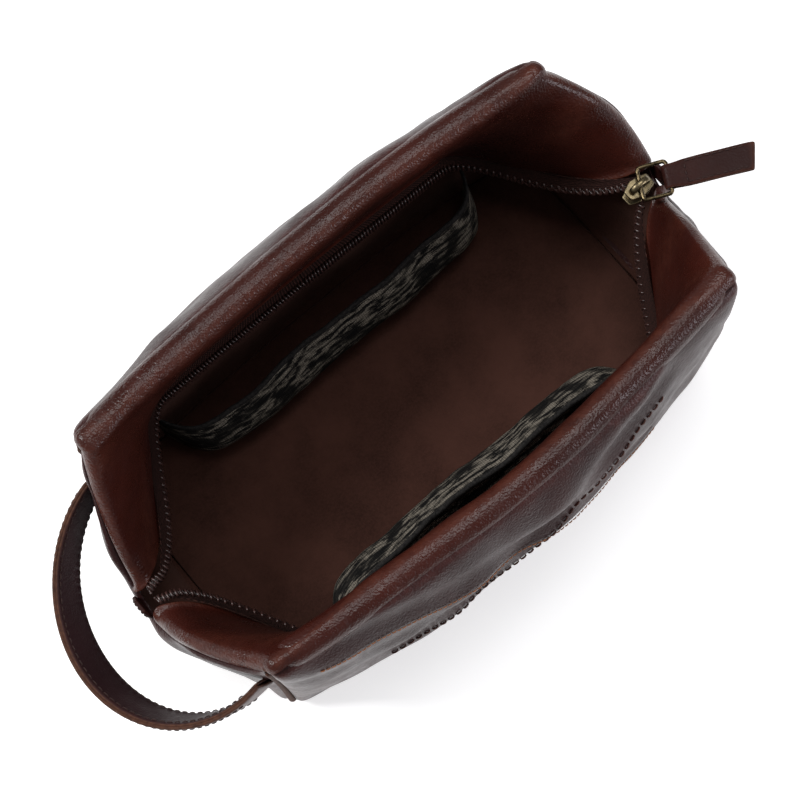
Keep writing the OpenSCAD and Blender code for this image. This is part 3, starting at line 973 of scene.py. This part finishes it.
# ---- materials ----
class Mat:
    """A material and short ways to add nodes to it."""

    def __init__(self, name):
        self.mat = bpy.data.materials.new(name)
        self.mat.use_nodes = True
        self.tree = self.mat.node_tree
        self.bsdf = self.tree.nodes["Principled BSDF"]
        coord = self.tree.nodes.new("ShaderNodeTexCoord")
        self.object = coord.outputs["Object"]
        self.uv = coord.outputs["UV"]

    def feed(self, socket, value):
        """A value or another node's output into a socket."""
        if hasattr(value, "is_linked"):
            self.tree.links.new(value, socket)
        else:
            socket.default_value = value

    def set(self, **values):
        """Values of the shader itself, with _ for a space in their names."""
        for key, value in values.items():
            self.bsdf.inputs[key.replace("_", " ")].default_value = value

    def node(self, kind, **values):
        made = self.tree.nodes.new(kind)
        for key, value in values.items():
            if key in made.inputs:
                self.feed(made.inputs[key], value)
            else:
                setattr(made, key, value)
        return made

    def link(self, out, socket):
        self.tree.links.new(out, self.bsdf.inputs[socket])

    def noise(self, scale, detail=4.0, rough=0.55, vector=None, distortion=0.0):
        return self.node("ShaderNodeTexNoise", Vector=vector or self.object, Scale=scale,
                         Detail=detail, Roughness=rough, Distortion=distortion).outputs["Fac"]

    def range(self, fac, a, b, c=0.0, d=1.0):
        made = self.node("ShaderNodeMapRange", Value=fac)
        for key, value in (("From Min", a), ("From Max", b), ("To Min", c), ("To Max", d)):
            made.inputs[key].default_value = value
        return made.outputs["Result"]

    def mix(self, fac, a, b, mode="MIX"):
        made = self.node("ShaderNodeMix", data_type="RGBA", blend_type=mode)
        for key, value in ((0, fac), (6, a), (7, b)):
            self.feed(made.inputs[key], (*value, 1) if isinstance(value, tuple) else value)
        return made.outputs[2]

    def math(self, mode, a, b=0.0):
        made = self.node("ShaderNodeMath", operation=mode)
        for k, value in enumerate((a, b)):
            self.feed(made.inputs[k], value)
        return made.outputs[0]

    def bump(self, height, strength, distance, after=None):
        made = self.node("ShaderNodeBump", Height=height, Strength=strength, Distance=distance)
        if after is not None:
            self.tree.links.new(after, made.inputs["Normal"])
        return made.outputs["Normal"]

    def attribute(self, name):
        return self.node("ShaderNodeAttribute", attribute_name=name).outputs["Fac"]


def leather(name, dark, light, worn, gloss=0.36, specular=0.5, grain=1.0):
    """Waxed pull-up leather: darker in the grain, lighter and redder where it is stretched."""
    m = Mat(name)
    cloud = m.noise(14.0, 5.0, 0.6)
    patch = m.noise(60.0, 3.0, 0.6, distortion=0.6)
    base = m.mix(m.range(cloud, 0.34, 0.68), dark, light)
    base = m.mix(m.range(patch, 0.45, 0.75, 0.0, 0.35), base, dark)
    wear = m.attribute("wear")
    rub = m.math("MULTIPLY", wear, m.range(m.noise(180.0, 4.0, 0.7), 0.3, 0.62, 0.25, 1.0))
    base = m.mix(m.range(rub, 0.05, 0.95, 0.0, 0.85), base, worn)
    cells = m.node("ShaderNodeTexVoronoi", Vector=m.object, Scale=1150.0, feature="SMOOTH_F1")
    warp = m.node("ShaderNodeVectorMath", operation="ADD")
    m.tree.links.new(m.object, warp.inputs[0])
    push = m.node("ShaderNodeVectorMath", operation="SCALE", Scale=0.006)
    m.tree.links.new(m.node("ShaderNodeTexNoise", Vector=m.object, Scale=70.0).outputs["Color"],
                     push.inputs[0])
    m.tree.links.new(push.outputs[0], warp.inputs[1])
    crease = m.node("ShaderNodeTexVoronoi", Vector=warp.outputs[0], Scale=210.0,
                    feature="DISTANCE_TO_EDGE")
    lines = m.range(crease.outputs["Distance"], 0.0, 0.12)
    where = m.range(m.noise(22.0, 3.0), 0.45, 0.7, 0.0, 0.7)
    lines = m.math("MAXIMUM", lines, m.math("SUBTRACT", 1.0, where))
    base = m.mix(m.range(lines, 0.0, 1.0, 0.35, 0.0), base, tuple(0.55 * c for c in dark))
    m.link(base, "Base Color")
    n1 = m.bump(cells.outputs["Distance"], 0.55 * grain, 0.0004)
    n2 = m.bump(lines, 0.26 * grain, 0.0005, n1)
    n3 = m.bump(m.noise(420.0, 3.0, 0.6), 0.14 * grain, 0.0005, n2)
    n4 = m.bump(m.noise(55.0, 4.0, 0.6), 0.18 * grain, 0.0022, n3)
    m.link(n4, "Normal")
    rough = m.range(m.noise(95.0, 4.0, 0.65), 0.3, 0.7, gloss - 0.06, gloss + 0.12)
    m.link(rough, "Roughness")
    m.set(Specular_IOR_Level=specular)
    return m.mat


def suede(name, dark, light):
    m = Mat(name)
    base = m.mix(m.range(m.noise(28.0, 6.0, 0.65), 0.35, 0.65), dark, light)
    base = m.mix(m.range(m.noise(900.0, 3.0, 0.7), 0.35, 0.7, 0.0, 0.5), base, light)
    m.link(base, "Base Color")
    m.link(m.bump(m.noise(1400.0, 3.0, 0.7), 0.5, 0.0004,
                  m.bump(m.noise(60.0, 4.0), 0.3, 0.002)), "Normal")
    m.set(Roughness=0.95, Specular_IOR_Level=0.12, Sheen_Weight=0.25, Sheen_Roughness=0.6,
          Sheen_Tint=(0.5, 0.3, 0.25, 1))
    return m.mat


def mapped(m, vector, scale):
    made = m.node("ShaderNodeMapping", Vector=vector)
    made.inputs["Scale"].default_value = scale
    return made.outputs["Vector"]


def weave(name):
    """Slubbed ikat cloth: pale warp streaks in blocks over a black ground."""
    m = Mat(name)
    streak = m.noise(1.0, 5.0, 0.7, mapped(m, m.uv, (0.10, 0.62, 1.0)), 0.4)
    block = m.noise(1.0, 3.0, 0.6, mapped(m, m.uv, (0.045, 0.12, 1.0)), 0.6)
    slub = m.noise(1.0, 6.0, 0.8, mapped(m, m.uv, (0.35, 1.3, 1.0)))
    on = m.math("MULTIPLY", m.range(streak, 0.46, 0.56), m.range(block, 0.42, 0.52, 0.06, 1.0))
    on = m.math("MULTIPLY", on, m.range(slub, 0.3, 0.6, 0.35, 1.0))
    base = m.mix(on, (0.008, 0.0075, 0.0075), (0.34, 0.30, 0.245))
    warp = m.node("ShaderNodeTexWave", Vector=mapped(m, m.uv, (1.0, 1.0, 1.0)), Scale=0.34,
                  bands_direction="Y", Distortion=1.2, Detail=2.0)
    weft = m.node("ShaderNodeTexWave", Vector=mapped(m, m.uv, (1.0, 1.0, 1.0)), Scale=0.28,
                  bands_direction="X", Distortion=1.2, Detail=2.0)
    threads = m.math("MULTIPLY", warp.outputs["Fac"], weft.outputs["Fac"])
    base = m.mix(m.range(threads, 0.0, 0.6, 0.5, 0.0), base, (0.006, 0.006, 0.006))
    m.link(base, "Base Color")
    m.link(m.bump(threads, 0.7, 0.0006, m.bump(slub, 0.5, 0.0006)), "Normal")
    m.set(Roughness=0.95, Specular_IOR_Level=0.1)
    return m.mat


def plain(name, dark, light, rough, scale=400.0, specular=0.4, bumped=0.3):
    m = Mat(name)
    m.link(m.mix(m.range(m.noise(scale, 4.0, 0.6), 0.35, 0.65), dark, light), "Base Color")
    m.link(m.bump(m.noise(scale * 2, 3.0, 0.6), bumped, 0.0003), "Normal")
    m.set(Roughness=rough, Specular_IOR_Level=specular)
    return m.mat


def tape_cloth(name):
    """Zip tape: fine ribs across and along a brown twill."""
    m = Mat(name)
    ribs = m.node("ShaderNodeTexWave", Vector=m.uv, Scale=0.21, bands_direction="X", Distortion=0.8)
    rows_ = m.node("ShaderNodeTexWave", Vector=m.uv, Scale=0.17, bands_direction="Y", Distortion=0.5)
    both = m.math("MULTIPLY", ribs.outputs["Fac"], rows_.outputs["Fac"])
    base = m.mix(m.range(both, 0.05, 0.75), (0.012, 0.005, 0.004), (0.115, 0.046, 0.037))
    base = m.mix(m.range(m.noise(700.0, 4.0), 0.4, 0.7, 0.0, 0.4), base, (0.022, 0.01, 0.008))
    m.link(base, "Base Color")
    m.link(m.bump(both, 0.9, 0.0008), "Normal")
    m.set(Roughness=0.75, Specular_IOR_Level=0.12)
    return m.mat


def antique(name):
    m = Mat(name)
    cloud = m.noise(420.0, 5.0, 0.7)
    base = m.mix(m.range(cloud, 0.36, 0.62), (0.035, 0.027, 0.016), (0.17, 0.130, 0.070))
    edge = m.node("ShaderNodeNewGeometry").outputs["Pointiness"]
    base = m.mix(m.range(edge, 0.5, 0.56), base, (0.34, 0.28, 0.17))
    m.link(base, "Base Color")
    m.link(m.range(m.noise(260.0, 4.0), 0.3, 0.7, 0.24, 0.5), "Roughness")
    m.link(m.bump(m.noise(700.0, 4.0), 0.2, 0.0003), "Normal")
    m.set(Metallic=1.0)
    return m.mat


BAG = leather("bag_leather", (0.022, 0.0050, 0.0036), (0.054, 0.0112, 0.0072), (0.105, 0.030, 0.018),
              gloss=0.28, specular=0.32)
# the flap leather with its colours cooled towards purple-grey: a painted reflection of the cool light on
# the walls
WALL_PAINTED_REFLECTION = leather("wall_leather", (0.018, 0.0060, 0.0060), (0.036, 0.0112, 0.0106),
                   (0.085, 0.028, 0.024), gloss=0.34, specular=0.24)
RIDGE = leather("ridge_leather", (0.024, 0.0054, 0.0038), (0.056, 0.0118, 0.0076),
                (0.11, 0.032, 0.020), gloss=0.28, specular=0.32)
TRIM = leather("trim_leather", (0.020, 0.0052, 0.0042), (0.036, 0.0100, 0.0078), (0.08, 0.028, 0.018),
               gloss=0.46, specular=0.12, grain=0.6)
HANDLE = leather("handle_leather", (0.026, 0.0080, 0.0056), (0.052, 0.0165, 0.0110),
                 (0.10, 0.036, 0.021), gloss=0.4, specular=0.3, grain=0.7)
HANDLE_IN = leather("handle_inner_leather", (0.018, 0.0072, 0.0085), (0.032, 0.0125, 0.0140),
                    (0.07, 0.030, 0.025), gloss=0.5, specular=0.16, grain=0.6)
EDGE = plain("raw_edge", (0.040, 0.0145, 0.0085), (0.090, 0.036, 0.020), 0.75, 500.0, 0.25, bumped=0.6)
SUEDE = suede("suede_lining", (0.030, 0.0115, 0.0080), (0.066, 0.0265, 0.0190))
WEAVE = weave("pocket_weave")
BINDING = plain("pocket_binding", (0.007, 0.0065, 0.0065), (0.026, 0.024, 0.023), 0.9, 900.0, 0.15,
                bumped=0.7)
PICK = plain("pick_thread", (0.16, 0.15, 0.14), (0.42, 0.4, 0.37), 0.8, 1500.0, 0.2)
TAPE = tape_cloth("zip_tape")
NYLON = plain("zip_coil", (0.020, 0.009, 0.008), (0.060, 0.027, 0.023), 0.3, 500.0, 0.6, bumped=0.1)
BRASS = antique("antique_brass")
ORANGE = plain("orange_thread", (0.14, 0.045, 0.018), (0.36, 0.14, 0.055), 0.6, 2200.0, 0.35)
RUST = plain("rust_thread", (0.030, 0.0085, 0.0055), (0.085, 0.026, 0.016), 0.6, 2200.0, 0.3)
BROWN = plain("brown_thread", (0.012, 0.0045, 0.004), (0.042, 0.014, 0.010), 0.6, 2200.0, 0.35)
BOARD = plain("stiffener_board", (0.16, 0.12, 0.08), (0.3, 0.24, 0.17), 0.9, 300.0, 0.2)


def paint(material, *objects, rim=None):
    """One material on each object, and another on the cut edges of thickened leather."""
    for o in objects:
        o.data.materials.clear()
        o.data.materials.append(material)
        if rim is not None:
            o.data.materials.append(rim)


paint(BAG, *flaps["leather"], base)
paint(WALL_PAINTED_REFLECTION, *walls)
paint(RIDGE, *rolls)
paint(SUEDE, *flaps["lining"], *linings)
paint(TAPE, *flaps["tape"])
paint(NYLON, *flaps["coil"])
paint(EDGE, welts, *seams)
paint(WEAVE, *pockets)
paint(BINDING, *hems)
paint(PICK, *picks)
paint(ORANGE, cross)
paint(TRIM, tabs[0], tabs[2])
paint(RUST, cross_dark)
paint(BROWN, tabs[1], tabs[3], tab_thread, thread)
paint(BRASS, *brass_parts)
paint(TRIM, tab, rim=EDGE)
paint(HANDLE, outer, rim=EDGE)
paint(HANDLE_IN, inner, rim=EDGE)
paint(BOARD, board)


# ---- floor, lights and camera ----
floor_mesh = bpy.data.meshes.new("floor")
floor_mesh.from_pydata([(-6, -6, 0), (6, -6, 0), (6, 6, 0), (-6, 6, 0)], [], [(0, 1, 2, 3)])
floor = put_in_scene(bpy.data.objects.new("floor", floor_mesh))
paper = plain("floor_paper", (0.9, 0.9, 0.9), (0.91, 0.91, 0.91), 0.9, 3.0, 0.1, bumped=0.0)
glow = paper.node_tree.nodes["Principled BSDF"].inputs
glow["Emission Color"].default_value = (1, 1, 1, 1)
glow["Emission Strength"].default_value = 0.5
floor_mesh.materials.append(paper)


def area(name, place, aim, size, power, color=(1, 1, 1)):
    data = bpy.data.lights.new(name, "AREA")
    data.shape = "RECTANGLE"
    data.size, data.size_y = size
    data.energy = power
    data.color = color
    lamp = put_in_scene(bpy.data.objects.new(name, data))
    lamp.location = place
    lamp.rotation_mode = "QUATERNION"
    lamp.rotation_quaternion = (Vector(aim) - Vector(place)).to_track_quat("-Z", "Y")


area("key", (-1.0, 0.9, 1.35), (0, 0, 0.06), (0.45, 0.6), 26)
area("front_soft", (0.9, -1.1, 0.9), (0, -0.05, 0.05), (0.9, 0.5), 10, (0.95, 0.93, 1.0))
area("top", (0.35, 0.3, 1.9), (0, 0, 0), (0.9, 0.9), 12)
world = bpy.data.worlds.new("studio")
world.use_nodes = True
world.node_tree.nodes["Background"].inputs[0].default_value = (1, 1, 1, 1)
world.node_tree.nodes["Background"].inputs[1].default_value = 0.21
bpy.context.scene.world = world
bpy.context.scene.view_settings.view_transform = "Standard"

az, el, roll_by, dist = (math.radians(-42.3), math.radians(78.0), math.radians(1.7), 0.873)
back = Vector((math.sin(az) * math.cos(el), -math.cos(az) * math.cos(el), math.sin(el)))
right = Vector((math.cos(az), math.sin(az), 0))
up = back.cross(right)
right2 = right * math.cos(roll_by) + up * math.sin(roll_by)
up2 = up * math.cos(roll_by) - right * math.sin(roll_by)
camera = put_in_scene(bpy.data.objects.new("camera", bpy.data.cameras.new("camera")))
camera.data.lens = 90
camera.data.sensor_width = 36
target = Vector((-0.0057, -0.0021, 0.0623))
camera.matrix_world = Matrix.Translation(target + back * dist) @ Matrix(
    (right2, up2, back)).transposed().to_4x4()
bpy.context.scene.camera = camera
